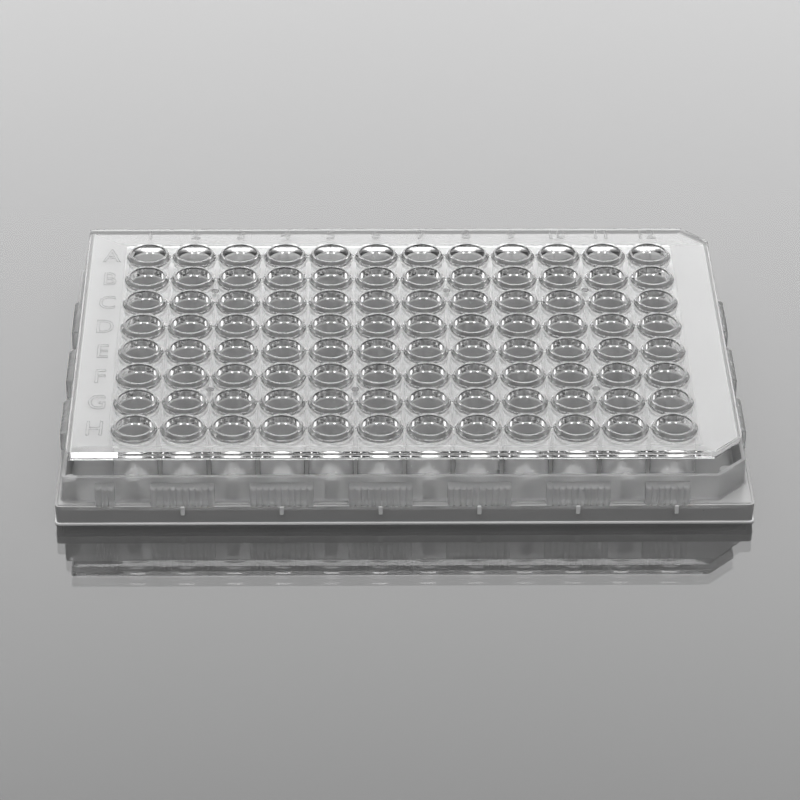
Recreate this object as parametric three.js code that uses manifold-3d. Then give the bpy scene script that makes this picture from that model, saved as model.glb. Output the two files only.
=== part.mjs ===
// A 96-well laboratory plate: a clear moulded well plate, seated in a frosted skirted base.
// Millimetres, +Z up. The origin is the centre of the footprint, on the surface the plate stands on.
// Rows run from the back (A, +Y) to the front (H, -Y), columns from the left (1, -X) to the right (12, +X).

import * as THREE from 'three';
import { mergeGeometries, mergeVertices } from 'three/addons/utils/BufferGeometryUtils.js';
import Module from 'manifold-3d';

const wasm = await Module();
wasm.setup();

// ---------------------------------------------------------------- driving sizes

// Well grid
const rowCount = 8;
const columnCount = 12;
const pitch = 9;

// Clear well plate
const plateMarginSide = 12.2;     // end column centre to the plate's end
const plateMarginFront = 7.8;     // row H centre to the plate's front edge
const plateMarginBack = 10.9;     // row A centre to the plate's back edge, with room for the numbers
const plateChamfer = 5.1;         // both right-hand corners
const plateCornerRadius = 0.3;    // both left-hand corners
const deckThickness = 1.0;
const borderDepth = 2.1;          // turned-down border, from the deck's top
const borderUpright = 0.65;       // upright part of the border's outer face
const borderSlant = 0.5;          // how far the rest of that face leans in
const borderWall = 1.0;
const rimHeight = 0.65;           // above the deck
const rimFootRadius = 4.1;
const rimCrownRadius = 3.55;
const boreTopRadius = 3.35;
const boreFloorRadius = 3.15;
const wellDepth = 11.3;
const wellFloor = 0.9;
const tubeTopRadius = 3.95;       // the tubes widen from the deck's underside to their feet
const tubeFootRadius = 4.3;
const dimpleRadius = 1.0;
const dimpleDepth = 0.35;

// Frosted base
const footprintLength = 127.76;
const footprintWidth = 85.48;
const footprintRadius = 1.0;
const skirtWall = 1.2;
const skirtHeight = 4.1;          // floor to the top of the ledge
const ledgeThickness = 1.2;
const ledgeSide = 1.45;           // skirt face to the upper wall, both ends and back
const ledgeFront = 2.0;           // the same, at the front
const upperWall = 1.2;
const upperWallTop = 9.3;
const upperWallRadius = 0.8;      // both left-hand corners
const upperWallChamfer = 5.3;     // both right-hand corners
const baseFloorHeight = 2.0;      // top of the base's floor
const baseFloorThickness = 1.0;

// Knurled grips on the ledge, centred on every second column and between every second pair of rows
const ribPitch = 1.155;
const ribRadius = 0.52;
const ribCount = 10;              // in a full grip
const lastGripRibs = 7;           // in the grip at the last column, which stops before the corner
const shortGripRibs = 3;
const shortGripOffset = 5.1;      // column 1 centre to the short grip's middle rib
const ribTop = 8.0;
const gripSpacing = 2;            // in columns, and in row gaps

// Gate tabs on the skirt, and posts inside the upper wall
const tabWidth = 0.75;
const tabDrop = 1.75;             // below the ledge's top
const tabProud = 0.25;
const postRadius = 1.25;
const postInset = 1.4;            // post centre to the upper wall's outer face
const postProud = 0.15;           // above the upper wall
const postSpacing = 2;            // in columns

// Fits and facets
const seatGap = 0.3;              // between the wells and the base's floor
const cutOver = 1;                // how far a cut runs past the face it opens
const boreSegments = 10;
const tubeSegments = 8;
const ribArcSegments = 2;
const postSegments = 12;
const cornerSegments = 3;
const smallestRadius = 0.2;

// ---------------------------------------------------------------- derived sizes

const gridHalfX = (columnCount - 1) * pitch / 2;
const gridHalfY = (rowCount - 1) * pitch / 2;
const columnX = (column) => column * pitch - gridHalfX;
const rowY = (row) => gridHalfY - row * pitch;

const tubeBottom = baseFloorHeight + seatGap;
const boreFloor = tubeBottom + wellFloor;
const rimTop = boreFloor + wellDepth;
const deckTop = rimTop - rimHeight;
const deckUnderside = deckTop - deckThickness;
const borderBottom = deckTop - borderDepth;

const plateEdges = {
  left: -gridHalfX - plateMarginSide,
  right: gridHalfX + plateMarginSide,
  front: -gridHalfY - plateMarginFront,
  back: gridHalfY + plateMarginBack,
};
const skirtEdges = {
  left: -footprintLength / 2,
  right: footprintLength / 2,
  front: -footprintWidth / 2,
  back: footprintWidth / 2,
};
// A 45 degree cut keeps its wall when it shrinks by this share of the wall.
const chamferShrink = 2 - Math.SQRT2;

const wallEdges = {
  left: skirtEdges.left + ledgeSide,
  right: skirtEdges.right - ledgeSide,
  front: skirtEdges.front + ledgeFront,
  back: skirtEdges.back - ledgeSide,
};

// ---------------------------------------------------------------- outlines

/** The four edges moved in by a distance. */
function inset(edges, distance) {
  return {
    left: edges.left + distance,
    right: edges.right - distance,
    front: edges.front + distance,
    back: edges.back - distance,
  };
}

/** An outline with both left-hand corners rounded and both right-hand corners cut off at 45 degrees, moved in. */
function chamferedOutline(edges, radius, chamfer, distance = 0) {
  const { left, right, front, back } = inset(edges, distance);
  const round = Math.max(radius - distance, smallestRadius);
  const cut = chamfer - distance * chamferShrink;
  const shape = new THREE.Shape();
  shape.moveTo(right - cut, front);
  shape.lineTo(right, front + cut);
  shape.lineTo(right, back - cut);
  shape.lineTo(right - cut, back);
  shape.absarc(left + round, back - round, round, Math.PI / 2, Math.PI);
  shape.absarc(left + round, front + round, round, Math.PI, 1.5 * Math.PI);
  return shape;
}

/** An outline with four rounded corners, moved in. */
function roundedOutline(edges, radius, distance = 0) {
  const { left, right, front, back } = inset(edges, distance);
  const round = Math.max(radius - distance, smallestRadius);
  const shape = new THREE.Shape();
  shape.absarc(right - round, front + round, round, -Math.PI / 2, 0);
  shape.absarc(right - round, back - round, round, 0, Math.PI / 2);
  shape.absarc(left + round, back - round, round, Math.PI / 2, Math.PI);
  shape.absarc(left + round, front + round, round, Math.PI, 1.5 * Math.PI);
  return shape;
}

// ---------------------------------------------------------------- solids

/** A manifold solid from a closed three.js geometry. */
function solid(geometry) {
  const bare = geometry.clone();
  bare.deleteAttribute('normal');
  bare.deleteAttribute('uv');
  const merged = mergeVertices(bare, 1e-4);
  return new wasm.Manifold(new wasm.Mesh({
    numProp: 3,
    vertProperties: new Float32Array(merged.attributes.position.array),
    triVerts: new Uint32Array(merged.index.array),
  }));
}

/** A flat-shaded geometry from a manifold solid. */
function geometryOf(body) {
  const mesh = body.getMesh();
  const indexed = new THREE.BufferGeometry();
  indexed.setAttribute('position', new THREE.BufferAttribute(mesh.vertProperties, 3));
  indexed.setIndex(new THREE.BufferAttribute(mesh.triVerts, 1));
  const geometry = indexed.toNonIndexed();
  geometry.computeVertexNormals();
  return geometry;
}

/** An upright prism of an outline, between two heights. */
function prism(shape, bottom, top, curveSegments = cornerSegments) {
  const options = { depth: top - bottom, bevelEnabled: false, curveSegments };
  return new THREE.ExtrudeGeometry(shape, options).translate(0, 0, bottom);
}

/** A closed body between two outlines with equal numbers of points, at two heights. */
function loft(lowerShape, bottom, upperShape, top) {
  const lower = lowerShape.extractPoints(cornerSegments).shape;
  const upper = upperShape.extractPoints(cornerSegments).shape;
  const count = lower.length;
  const positions = [];
  lower.forEach(({ x, y }) => positions.push(x, y, bottom));
  upper.forEach(({ x, y }) => positions.push(x, y, top));
  const indices = [];
  for (const [a, b, c] of THREE.ShapeUtils.triangulateShape(lower, [])) {
    indices.push(c, b, a, count + a, count + b, count + c);
  }
  for (let point = 0; point < count; point += 1) {
    const next = (point + 1) % count;
    indices.push(point, next, count + next, point, count + next, count + point);
  }
  const geometry = new THREE.BufferGeometry();
  geometry.setAttribute('position', new THREE.Float32BufferAttribute(positions, 3));
  geometry.setIndex(indices);
  return geometry;
}

/** A solid turned about the Z axis from a profile of [radius, height] points, from the bottom up. */
function turned(profile, segments) {
  const points = profile.map(([radius, height]) => new THREE.Vector2(radius, height));
  return new THREE.LatheGeometry(points, segments).rotateX(Math.PI / 2);
}

/** One solid of equal, separate copies of a geometry. */
function copies(geometry, places) {
  return solid(mergeGeometries(places.map(([x, y]) => geometry.clone().translate(x, y, 0))));
}

// ---------------------------------------------------------------- clear well plate

/** Every well centre, as [x, y]. */
function wellCentres() {
  const centres = [];
  for (let row = 0; row < rowCount; row += 1) {
    for (let column = 0; column < columnCount; column += 1) {
      centres.push([columnX(column), rowY(row)]);
    }
  }
  return centres;
}

/** The slab that the deck is cut from: upright at the top, leaning in below. */
function plateSlab() {
  const outline = (distance) => chamferedOutline(plateEdges, plateCornerRadius, plateChamfer, distance);
  const shoulder = deckTop - borderUpright;
  const upright = solid(prism(outline(0), shoulder, deckTop));
  return upright.add(solid(loft(outline(borderSlant), borderBottom, outline(0), shoulder)));
}

/** The hollow under the deck, inside the border. */
function plateHollow() {
  const wall = borderWall + borderSlant;
  const shape = chamferedOutline(plateEdges, plateCornerRadius, plateChamfer, wall);
  return solid(prism(shape, borderBottom - cutOver, deckUnderside));
}

/** The rims and tubes, without their bores. */
function wellBodies() {
  const lip = turned([
    [0, deckTop - deckThickness / 2], [rimFootRadius, deckTop - deckThickness / 2], [rimFootRadius, deckTop],
    [rimCrownRadius, rimTop], [0, rimTop],
  ], boreSegments);
  const tube = turned([
    [0, tubeBottom], [tubeFootRadius, tubeBottom], [tubeTopRadius, deckUnderside],
    [tubeTopRadius, deckTop - deckThickness / 2], [0, deckTop - deckThickness / 2],
  ], tubeSegments);
  const centres = wellCentres();
  return copies(lip, centres).add(copies(tube, centres));
}

/** The bores, open at the top. */
function wellBores() {
  const slope = (boreTopRadius - boreFloorRadius) / wellDepth;
  const overRadius = boreTopRadius + slope * cutOver;
  const bore = turned([
    [0, boreFloor], [boreFloorRadius, boreFloor], [overRadius, rimTop + cutOver], [0, rimTop + cutOver],
  ], boreSegments);
  return copies(bore, wellCentres());
}

/** Six gate dimples, each midway between four wells: [column gap, row gap]. */
function gateDimples() {
  const places = [[2, 2], [7, 2], [10, 2], [2, 6], [5, 6], [10, 6]]
    .map(([column, row]) => [columnX(column - 0.5), rowY(row - 0.5)]);
  const dimple = turned([
    [0, deckTop - dimpleDepth], [dimpleRadius, deckTop - dimpleDepth],
    [dimpleRadius, deckTop + cutOver], [0, deckTop + cutOver],
  ], postSegments);
  return copies(dimple, places);
}

function wellPlate() {
  const body = plateSlab()
    .subtract(plateHollow())
    .add(wellBodies())
    .subtract(wellBores())
    .subtract(gateDimples());
  const material = new THREE.MeshStandardMaterial({
    color: 0xe6e8e8, roughness: 0.06, metalness: 0, transparent: true, opacity: 0.35,
  });
  return named('well_plate', body, material);
}

// ---------------------------------------------------------------- frosted base

/** The skirt and its ledge, still closed at the top. */
function skirt() {
  const outer = solid(prism(roundedOutline(skirtEdges, footprintRadius), 0, skirtHeight));
  const inner = roundedOutline(skirtEdges, footprintRadius, skirtWall);
  return outer.subtract(solid(prism(inner, -cutOver, skirtHeight - ledgeThickness)));
}

/** The upper wall and floor as one block, before its hollow is cut. */
function upperBlock() {
  const shape = chamferedOutline(wallEdges, upperWallRadius, upperWallChamfer);
  return solid(prism(shape, baseFloorHeight - baseFloorThickness, upperWallTop));
}

function upperHollow() {
  const shape = chamferedOutline(wallEdges, upperWallRadius, upperWallChamfer, upperWall);
  return solid(prism(shape, baseFloorHeight, upperWallTop + cutOver));
}

/** A knurled grip that faces -Y: its ribs end at y = 0 and it reaches back by depth. */
function grip(ribs, depth) {
  const shape = new THREE.Shape();
  const firstX = -(ribs - 1) * ribPitch / 2;
  const valleyY = ribRadius;
  shape.moveTo(firstX - ribRadius, depth);
  for (let rib = 0; rib < ribs; rib += 1) {
    const x = firstX + rib * ribPitch;
    shape.lineTo(x - ribRadius, valleyY);
    shape.absarc(x, valleyY, ribRadius, Math.PI, 2 * Math.PI);
  }
  shape.lineTo(-firstX + ribRadius, depth);
  const bottom = skirtHeight - ledgeThickness / 2;
  return prism(shape, bottom, ribTop, ribArcSegments);
}

/** Grips along the front and the back: one at every second column, and a short one before column 1. */
function frontAndBackGrips() {
  const grips = [];
  for (const side of ['front', 'back']) {
    const depth = Math.abs(skirtEdges[side] - wallEdges[side]) + upperWall / 2;
    const place = (ribs, x) => grip(ribs, depth)
      .rotateZ(side === 'front' ? 0 : Math.PI)
      .translate(x, skirtEdges[side], 0);
    for (let column = gripSpacing - 1; column < columnCount; column += gripSpacing) {
      const ribs = column === columnCount - 1 ? lastGripRibs : ribCount;
      grips.push(place(ribs, columnX(column) - (ribCount - ribs) * ribPitch / 2));
    }
    grips.push(place(shortGripRibs, columnX(0) - shortGripOffset));
  }
  return grips;
}

/** Grips along both ends, midway between two rows. */
function endGrips() {
  const grips = [];
  const depth = ledgeSide + upperWall / 2;
  for (let row = gripSpacing - 1; row < rowCount - 1; row += gripSpacing) {
    const y = rowY(row + 0.5);
    grips.push(grip(ribCount, depth).rotateZ(-Math.PI / 2).translate(skirtEdges.left, y, 0));
    grips.push(grip(ribCount, depth).rotateZ(Math.PI / 2).translate(skirtEdges.right, y, 0));
  }
  return grips;
}

/** Small gate tabs on the skirt, under each grip of the front and the back. */
function gateTabs() {
  const tabs = [];
  const reach = skirtWall / 2;
  const tab = new THREE.BoxGeometry(tabWidth, reach + tabProud, tabDrop);
  for (const [face, outward] of [[skirtEdges.front, -1], [skirtEdges.back, 1]]) {
    const y = face + outward * (tabProud - reach) / 2;
    for (let column = gripSpacing - 1; column < columnCount; column += gripSpacing) {
      tabs.push(tab.clone().translate(columnX(column), y, skirtHeight - tabDrop / 2));
    }
  }
  return tabs;
}

/** Posts inside the upper wall: one at each corner, and one at every other column of the front and the back. */
function wallPosts() {
  const foot = baseFloorHeight - baseFloorThickness / 2;
  const head = upperWallTop + postProud;
  const post = turned([[0, foot], [postRadius, foot], [postRadius, head], [0, head]], postSegments);
  const line = inset(wallEdges, postInset);
  const chamferShift = upperWallChamfer / 2 - postInset * (1 - Math.SQRT1_2);
  const places = [
    [line.left, line.front],
    [line.left, line.back],
    [line.right - chamferShift, line.front + chamferShift],
    [line.right - chamferShift, line.back - chamferShift],
  ];
  for (let column = 0; column < columnCount; column += postSpacing) {
    places.push([columnX(column), line.front], [columnX(column), line.back]);
  }
  return copies(post, places);
}

function skirtedBase() {
  let body = skirt().add(upperBlock()).subtract(upperHollow());
  for (const piece of [...frontAndBackGrips(), ...endGrips(), ...gateTabs()]) {
    body = body.add(solid(piece));
  }
  body = body.add(wallPosts());
  const material = new THREE.MeshStandardMaterial({ color: 0x9fa1a1, roughness: 0.55, metalness: 0 });
  return named('skirted_base', body, material);
}

// ---------------------------------------------------------------- assembly

/** A named mesh from a solid and its material. */
function named(name, body, material) {
  const mesh = new THREE.Mesh(geometryOf(body), material);
  mesh.name = name;
  return mesh;
}

const group = new THREE.Group();
group.add(wellPlate(), skirtedBase());

export default group;
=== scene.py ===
"""Looks for a laboratory well plate: a clear moulded plate seated in a frosted skirted base.

Sizes are in millimetres inside the pieces' classes and are turned into metres when a mesh is made.
Rows run from the back (A, +Y) to the front (H, -Y), columns from the left (1) to the right (12).
"""

import logging
import math
import string
from dataclasses import dataclass, field
from enum import Enum, IntEnum
from typing import Any, Callable, Iterable, Sequence

import bmesh
import bpy
from mathutils import Matrix, Vector
from mathutils.geometry import tessellate_polygon

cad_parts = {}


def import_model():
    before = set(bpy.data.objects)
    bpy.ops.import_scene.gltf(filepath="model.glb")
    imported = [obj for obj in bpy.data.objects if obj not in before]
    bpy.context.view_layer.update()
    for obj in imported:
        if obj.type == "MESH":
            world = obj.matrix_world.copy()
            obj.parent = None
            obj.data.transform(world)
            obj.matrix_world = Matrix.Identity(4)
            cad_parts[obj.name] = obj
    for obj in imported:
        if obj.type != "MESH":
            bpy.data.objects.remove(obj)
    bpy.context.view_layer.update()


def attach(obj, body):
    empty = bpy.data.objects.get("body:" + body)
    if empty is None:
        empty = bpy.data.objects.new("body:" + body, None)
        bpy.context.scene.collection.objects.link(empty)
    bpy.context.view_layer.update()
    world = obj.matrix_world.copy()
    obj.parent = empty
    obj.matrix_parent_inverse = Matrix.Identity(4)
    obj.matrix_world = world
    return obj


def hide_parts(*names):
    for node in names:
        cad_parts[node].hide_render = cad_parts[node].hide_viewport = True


MM = 0.001
LOG = logging.getLogger("well_plate")

Point2 = tuple[float, float]
Point3 = tuple[float, float, float]
Profile = tuple[Point2, ...]
Colour = tuple[float, float, float, float]


class Slot(Enum):
    """The record's material slots."""

    CLEAR = "clear_plastic"
    FROSTED = "frosted_plastic"


class Axis(IntEnum):
    """The frame's axes."""

    X = 0
    Y = 1
    Z = 2


def add_object(name: str, data: bpy.types.ID) -> bpy.types.Object:
    """Make an object, link it to the scene and return it.

    Args:
        name: The object's name.
        data: Its mesh, lamp or camera.

    Returns:
        The new object.
    """
    made = bpy.data.objects.new(name, data)
    bpy.context.scene.collection.objects.link(made)
    return made


# ---------------------------------------------------------------- outlines


@dataclass(frozen=True)
class Edges:
    """The four straight sides of a plan outline."""

    left: float
    right: float
    front: float
    back: float

    def inset(self, distance: float) -> "Edges":
        """Return the sides moved in by a distance."""
        return Edges(
            self.left + distance, self.right - distance, self.front + distance, self.back - distance)

    def corners(self) -> list[Point2]:
        """Return the four corners.

        Returns:
            The corners, counter-clockwise from the front left.
        """
        return [
            (self.left, self.front), (self.right, self.front),
            (self.right, self.back), (self.left, self.back)]


def arc(centre: Point2, radius: float, start: float, end: float, steps: int) -> list[Point2]:
    """Return points along an arc.

    Args:
        centre: The arc's centre.
        radius: Its radius.
        start: Its first angle, in degrees.
        end: Its last angle, in degrees.
        steps: How many chords it has.

    Returns:
        The points, both ends included.
    """
    points = []
    for step in range(steps + 1):
        angle = math.radians(start + (end - start) * step / steps)
        points.append((centre[0] + radius * math.cos(angle), centre[1] + radius * math.sin(angle)))
    return points


def circle(centre: Point2, radius: float, steps: int) -> list[Point2]:
    """Return the corners of an evenly stepped circle."""
    return arc(centre, radius, 0.0, 360.0, steps)[:-1]


def moved(profile: Iterable[Point2], inset: float, height: float) -> list[Point2]:
    """Return a profile of [inset, height] points, moved in and up."""
    return [(inset + across, height + up) for across, up in profile]


@dataclass(frozen=True)
class Outline:
    """A plan outline: rounded left corners, and right corners that are rounded or cut off at 45 degrees."""

    edges: Edges
    radius: float
    chamfer: float = 0.0
    steps: int = 6
    least_radius: float = 0.08
    cut_rounding: float = 0.35
    cut_steps: int = 2

    def points(self, distance: float = 0.0) -> list[Point2]:
        """Return the outline, moved in by a distance, with the same number of points at every distance.

        Args:
            distance: How far every side moves in.

        Returns:
            The points, counter-clockwise.
        """
        side = self.edges.inset(distance)
        turn = max(self.radius - distance, self.least_radius)
        points: list[Point2] = []
        if self.chamfer > 0:
            points += self._cut_corners(side, distance)
        else:
            points += arc((side.right - turn, side.front + turn), turn, -90.0, 0.0, self.steps)
            points += arc((side.right - turn, side.back - turn), turn, 0.0, 90.0, self.steps)
        points += arc((side.left + turn, side.back - turn), turn, 90.0, 180.0, self.steps)
        points += arc((side.left + turn, side.front + turn), turn, 180.0, 270.0, self.steps)
        return points

    def _cut_corners(self, side: Edges, distance: float) -> list[Point2]:
        """Return both cut corners of the right side, each end of a cut slightly rounded.

        Args:
            side: The straight sides, already moved in.
            distance: How far they were moved in, which shortens the legs of a 45 degree cut a little.

        Returns:
            The points, counter-clockwise.
        """
        cut = self.chamfer - distance * (2.0 - math.sqrt(2.0))
        turn = self.cut_rounding
        bend = 45.0
        reach = turn * math.tan(math.radians(bend / 2.0))
        bends = [
            (side.right - cut - reach, side.front + turn, -2.0 * bend),
            (side.right - turn, side.front + cut + reach, -bend),
            (side.right - turn, side.back - cut - reach, 0.0),
            (side.right - cut - reach, side.back - turn, bend),
        ]
        points: list[Point2] = []
        for x, y, start in bends:
            points += arc((x, y), turn, start, start + bend, self.cut_steps)
        return points


# ---------------------------------------------------------------- shader nodes


@dataclass
class Value:
    """A shader socket that can be used in plain arithmetic."""

    nodes: "NodeSheet"
    socket: Any

    def _maths(self, operation: str, *others: Any) -> "Value":
        """Add a Math node on some values and numbers."""
        return self.nodes.add("ShaderNodeMath", {"operation": operation}, dict(enumerate(others))).value()

    def __add__(self, other: Any) -> "Value":
        """Return the sum."""
        return self._maths("ADD", self, other)

    def __radd__(self, other: Any) -> "Value":
        """Return the sum."""
        return self._maths("ADD", other, self)

    def __sub__(self, other: Any) -> "Value":
        """Return the difference."""
        return self._maths("SUBTRACT", self, other)

    def __rsub__(self, other: Any) -> "Value":
        """Return the difference, the other way round."""
        return self._maths("SUBTRACT", other, self)

    def __mul__(self, other: Any) -> "Value":
        """Return the product."""
        return self._maths("MULTIPLY", self, other)

    def __rmul__(self, other: Any) -> "Value":
        """Return the product."""
        return self._maths("MULTIPLY", other, self)

    def __truediv__(self, other: Any) -> "Value":
        """Return the quotient."""
        return self._maths("DIVIDE", self, other)

    def __rtruediv__(self, other: Any) -> "Value":
        """Return the quotient, the other way round."""
        return self._maths("DIVIDE", other, self)

    def clamped(self) -> "Value":
        """Return the value kept from 0 to 1."""
        return self._maths("MINIMUM", self._maths("MAXIMUM", self, 0.0), 1.0)

    def step(self, start: float, end: float) -> "Value":
        """Return a ramp from 0 at start to 1 at end."""
        return ((self - start) / (end - start)).clamped()


@dataclass
class Node:
    """A shader node and the sheet it is on."""

    nodes: "NodeSheet"
    node: Any

    def value(self, output: Any = 0) -> Value:
        """Return one of its outputs as a value."""
        return Value(self.nodes, self.node.outputs[output])


class NodeSheet:
    """Adds the nodes of one material."""

    def __init__(self, name: str) -> None:
        """Make an empty material.

        Args:
            name: The material's name.
        """
        self.material = bpy.data.materials.new(name)
        self.material.use_nodes = True
        self.tree = self.material.node_tree
        self.tree.nodes.clear()

    def add(
        self, kind: str, settings: dict[str, Any] | None = None, inputs: dict[Any, Any] | None = None,
    ) -> Node:
        """Add a node.

        Args:
            kind: The node's type.
            settings: Its own settings, such as a Math node's operation, set first.
            inputs: Values or links for its sockets, by name or number.

        Returns:
            The new node.
        """
        node = self.tree.nodes.new(kind)
        for key, value in (settings or {}).items():
            setattr(node, key, value)
        for key, value in (inputs or {}).items():
            source = value.value() if isinstance(value, Node) else value
            if isinstance(source, Value):
                self.tree.links.new(source.socket, node.inputs[key])
            else:
                node.inputs[key].default_value = source
        return Node(self, node)

    def finish(self, shader: Node) -> bpy.types.Material:
        """Connect the last shader to the output and return the material."""
        self.add("ShaderNodeOutputMaterial", {}, {"Surface": shader})
        return self.material

    def position(self) -> tuple[Value, ...]:
        """Return the object coordinates as three values.

        Returns:
            X, Y and Z, in millimetres.
        """
        coordinates = self.add("ShaderNodeTexCoord").value("Object")
        parts = self.add("ShaderNodeSeparateXYZ", {}, {0: coordinates})
        return tuple(parts.value(axis.value) * (1.0 / MM) for axis in Axis)

    def noise(self, cells: float, detail: float) -> Value:
        """Return a noise value over the object.

        Args:
            cells: How many of its cells there are to a metre.
            detail: How many finer layers are added to it.

        Returns:
            The noise.
        """
        coordinates = self.add("ShaderNodeTexCoord").value("Object")
        return self.add("ShaderNodeTexNoise", {"noise_dimensions": "3D"}, {
            "Vector": coordinates, "Scale": cells, "Detail": detail}).value()


def grey(level: float) -> Colour:
    """Return a neutral colour."""
    return (level, level, level, 1.0)


# ---------------------------------------------------------------- finishes


@dataclass(frozen=True)
class ClearPlastic:
    """Clear polished plastic, with the faint unevenness of a moulding.

    Ripples are in cells a metre, and their height is in metres.
    """

    name: str
    tint: float = 0.97
    roughness: float = 0.02
    ior: float = 1.59
    ripple_cells: float = 260.0
    ripple_detail: float = 2.0
    ripple_strength: float = 0.04
    ripple_height: float = 0.0003
    ripple_roughness: float = 0.02

    def material(self) -> bpy.types.Material:
        """Make the finish.

        Returns:
            The new material.
        """
        sheet = NodeSheet(self.name)
        ripple = sheet.noise(self.ripple_cells, self.ripple_detail)
        bump = sheet.add("ShaderNodeBump", {}, {
            "Strength": self.ripple_strength, "Distance": self.ripple_height, "Height": ripple})
        shader = sheet.add("ShaderNodeBsdfPrincipled", {}, {
            "Base Color": grey(self.tint),
            "Roughness": ripple * self.ripple_roughness + self.roughness,
            "IOR": self.ior,
            "Transmission Weight": 1.0,
            "Normal": bump,
        })
        return sheet.finish(shader)


@dataclass(frozen=True)
class FrostedPlastic:
    """Fine-grained grey plastic that lets a part of the light through.

    Its grey level varies by the unevenness over patches of a size in millimetres. The grain is in cells a
    metre, and its height is in metres.
    """

    name: str
    shade: float = 0.43
    roughness: float = 0.3
    clearness: float = 0.5
    unevenness: float = 0.05
    patch: float = 16.0
    patch_detail: float = 2.0
    ior: float = 1.5
    grain_cells: float = 2600.0
    grain_detail: float = 4.0
    grain_strength: float = 0.12
    grain_height: float = 0.0001
    grain_roughness: float = 0.1

    def material(self) -> bpy.types.Material:
        """Make the finish.

        Returns:
            The new material.
        """
        sheet = NodeSheet(self.name)
        grain = sheet.noise(self.grain_cells, self.grain_detail)
        cloud = sheet.noise(1.0 / MM / self.patch, self.patch_detail)
        bump = sheet.add("ShaderNodeBump", {}, {
            "Strength": self.grain_strength, "Distance": self.grain_height, "Height": grain})
        level = cloud * self.unevenness + (self.shade - self.unevenness / 2.0)
        shader = sheet.add("ShaderNodeBsdfPrincipled", {}, {
            "Base Color": sheet.add("ShaderNodeCombineColor", {}, {0: level, 1: level, 2: level}),
            "Roughness": grain * self.grain_roughness + (self.roughness - self.grain_roughness / 2.0),
            "IOR": self.ior,
            "Transmission Weight": self.clearness,
            "Normal": bump,
        })
        return sheet.finish(shader)


class Finish(Enum):
    """Every finish of the two mouldings and their marks, with its recipe."""

    POLISHED = ClearPlastic("clear_moulded_plastic")
    TUBE = FrostedPlastic("hazy_clear_plastic", shade=0.95, roughness=0.25, clearness=0.65)
    WELL_FLOOR = FrostedPlastic("matt_well_floor", shade=0.9, roughness=0.5, clearness=0.0)
    # Painted shade: the dark, mottled grey on the front of each rim's side.
    RIM_SIDE = FrostedPlastic("hazy_rim_painted_shade", shade=0.22, roughness=0.35, unevenness=0.3, patch=1.6)
    # Painted light: the pale haze of the underside round each well.
    UNDERSIDE = FrostedPlastic("hazy_underside_painted_light", shade=0.45, roughness=0.5, clearness=0.2)
    # Painted light: the pale haze under the deck's side margins.
    SIDE_MARGIN = FrostedPlastic("hazy_margin_painted_light", shade=0.55, roughness=0.5, clearness=0.2)
    # Painted shade: the near-black haze along the back border.
    BACK_BORDER = FrostedPlastic("hazy_border_painted_shade", shade=0.08, roughness=0.5, clearness=0.2)
    # Painted shade: a faintly dimmed copy of the clear deck under the back margin.
    BACK_MARGIN = FrostedPlastic("hazy_back_margin_painted_shade", shade=0.6, roughness=0.03, clearness=0.97)
    # Painted shade: the grey haze of the border's foot and inner wall on the sides.
    SIDE_BORDER = FrostedPlastic("hazy_side_border_painted_shade", shade=0.24, roughness=0.5, clearness=0.2)
    # Painted shade: the dark grey of the gate marks' dimples.
    GATE_MARK = FrostedPlastic("rough_gate_mark_painted_shade", shade=0.1, roughness=0.4, clearness=0.2)
    # Painted shade: the grey haze of the raised letters and numbers.
    LETTERING = FrostedPlastic("lettering_painted_shade", shade=0.36, roughness=0.35, clearness=0.55)
    FROSTED = FrostedPlastic("frosted_moulded_plastic")
    TRAY_FLOOR = FrostedPlastic("matt_tray_floor", shade=0.5, clearness=0.2)
    # Painted light: a paler, milkier copy of the frosted plastic on the posts.
    POSTS = FrostedPlastic("milky_posts_painted_light", shade=0.8, clearness=0.62)
    UPPER_WALL = FrostedPlastic("thin_frosted_wall", shade=0.95, roughness=0.45, clearness=0.92)
    # Painted light: a paler copy of the frosted plastic on the foot flange and the tabs.
    GATE_TABS = FrostedPlastic("pale_foot_and_tabs_painted_light", shade=0.62, clearness=0.2)
    GRIPS = FrostedPlastic("thin_frosted_grips", shade=0.95, roughness=0.48, clearness=0.965)

    def material(self) -> bpy.types.Material:
        """Return its material, which is made at the first call."""
        return bpy.data.materials.get(self.value.name) or self.value.material()


# ---------------------------------------------------------------- meshes


def middle(corners: Sequence[Point3], axis: Axis) -> float:
    """Return the mean of some corners along an axis."""
    return sum(corner[axis] for corner in corners) / len(corners)


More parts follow.
